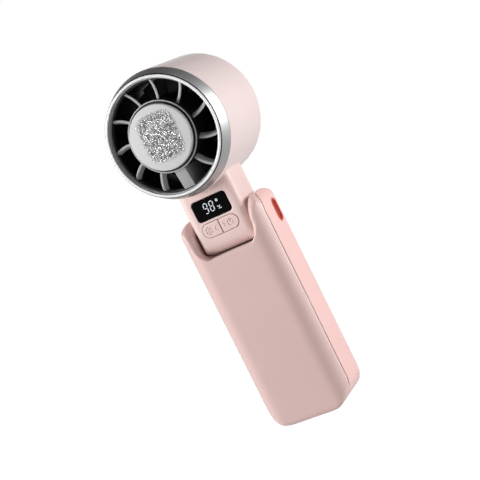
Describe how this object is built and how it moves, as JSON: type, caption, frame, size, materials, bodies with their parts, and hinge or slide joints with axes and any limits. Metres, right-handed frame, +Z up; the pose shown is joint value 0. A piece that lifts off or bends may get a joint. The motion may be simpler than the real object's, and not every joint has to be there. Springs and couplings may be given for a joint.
{
  "type": "handheld cooling fan",
  "caption": "Pocket fan with a chilled nose plate: a ducted round head on a short neck with a display and keys folds forward over a slim battery handle.",
  "frame": {"origin": "middle of the flat base of the handle", "axes": "+Z up the handle towards the head, -Y out of the front with the display and the chilled plate, +X to the right seen from the front"},
  "size_m": [0.062, 0.0507, 0.1821],
  "materials": {
    "rose_plastic": "soft-touch dusty rose moulding",
    "pale_plastic": "soft-touch pale pink moulding",
    "black_plastic": "moulded black plastic",
    "grey_plastic": "satin mid-grey moulding",
    "display_black": "glossy smoked window",
    "coral_rubber": "soft coral liner",
    "brushed_aluminium": "turned and brushed",
    "chilled_alloy": "silver-white, frosted patch",
    "steel": "plain bright steel",
    "nickel": "nickel strip",
    "copper": "wound copper on a laminated core",
    "magnet": "sintered grey",
    "circuit_board": "green solder mask",
    "white_ceramic": "white ceramic tile",
    "cell_wrap": "shrink-wrapped cell, density of a real one",
    "wire_rubber": "red insulated pair"
  },
  "bodies": {
    "handle": {"handle_front_shell": "rose_plastic", "handle_rear_shell": "pale_plastic", "handle_screw_1": "steel", "handle_screw_2": "steel", "handle_screw_3": "steel", "handle_screw_4": "steel", "lanyard_liner": "coral_rubber", "battery_cell_left": "cell_wrap", "battery_cell_right": "cell_wrap", "battery_holder": "black_plastic", "battery_tab_top": "nickel", "battery_tab_left": "nickel", "battery_tab_right": "nickel", "charge_board": "circuit_board", "charging_port": "steel", "battery_wires": "wire_rubber", "hinge_shaft": "steel", "hinge_sleeve": "steel", "spring_washer": "steel", "hinge_nut": "steel"},
    "head": {"friction_washer": "black_plastic", "head_shell": "pale_plastic", "neck_rear_cover": "pale_plastic", "neck_screw_1": "steel", "neck_screw_2": "steel", "display_window": "display_black", "display_module": "black_plastic", "control_board": "circuit_board", "cool_switch": "black_plastic", "power_switch": "black_plastic", "neck_wires": "wire_rubber", "bezel_ring": "brushed_aluminium", "duct_liner": "black_plastic", "front_grille": "grey_plastic", "cold_plate": "chilled_alloy", "plate_seal": "black_plastic", "cooler_module": "white_ceramic", "heat_sink": "brushed_aluminium", "driver_board": "circuit_board", "motor_base": "black_plastic", "motor_screw_1": "steel", "motor_screw_2": "steel", "motor_screw_3": "steel", "front_bearing": "steel", "rear_bearing": "steel", "motor_stator": "copper", "rear_grille": "grey_plastic"},
    "rotor": {"magnet_ring": "magnet", "rotor_can": "steel", "motor_shaft": "steel", "impeller": "black_plastic"},
    "cool_key": {"cool_button": "pale_plastic"},
    "power_key": {"power_button": "pale_plastic"}
  },
  "joints": [
    {"name": "neck_fold", "type": "hinge", "parent": "handle", "child": "head", "pos_m": [0, 0, 0.1002], "axis": [1, 0, 0], "range_deg": [0, 90]},
    {"name": "impeller_spin", "type": "hinge", "parent": "head", "child": "rotor", "pos_m": [0, 0, 0.1511], "axis": [0, 1, 0], "continuous": true},
    {"name": "cool_button_press", "type": "slide", "parent": "head", "child": "cool_key", "axis": [0, 1, 0], "range_m": [0, 0.0004], "stiffness_N_per_m": 800},
    {"name": "power_button_press", "type": "slide", "parent": "head", "child": "power_key", "axis": [0, 1, 0], "range_m": [0, 0.0004], "stiffness_N_per_m": 800}
  ]
}
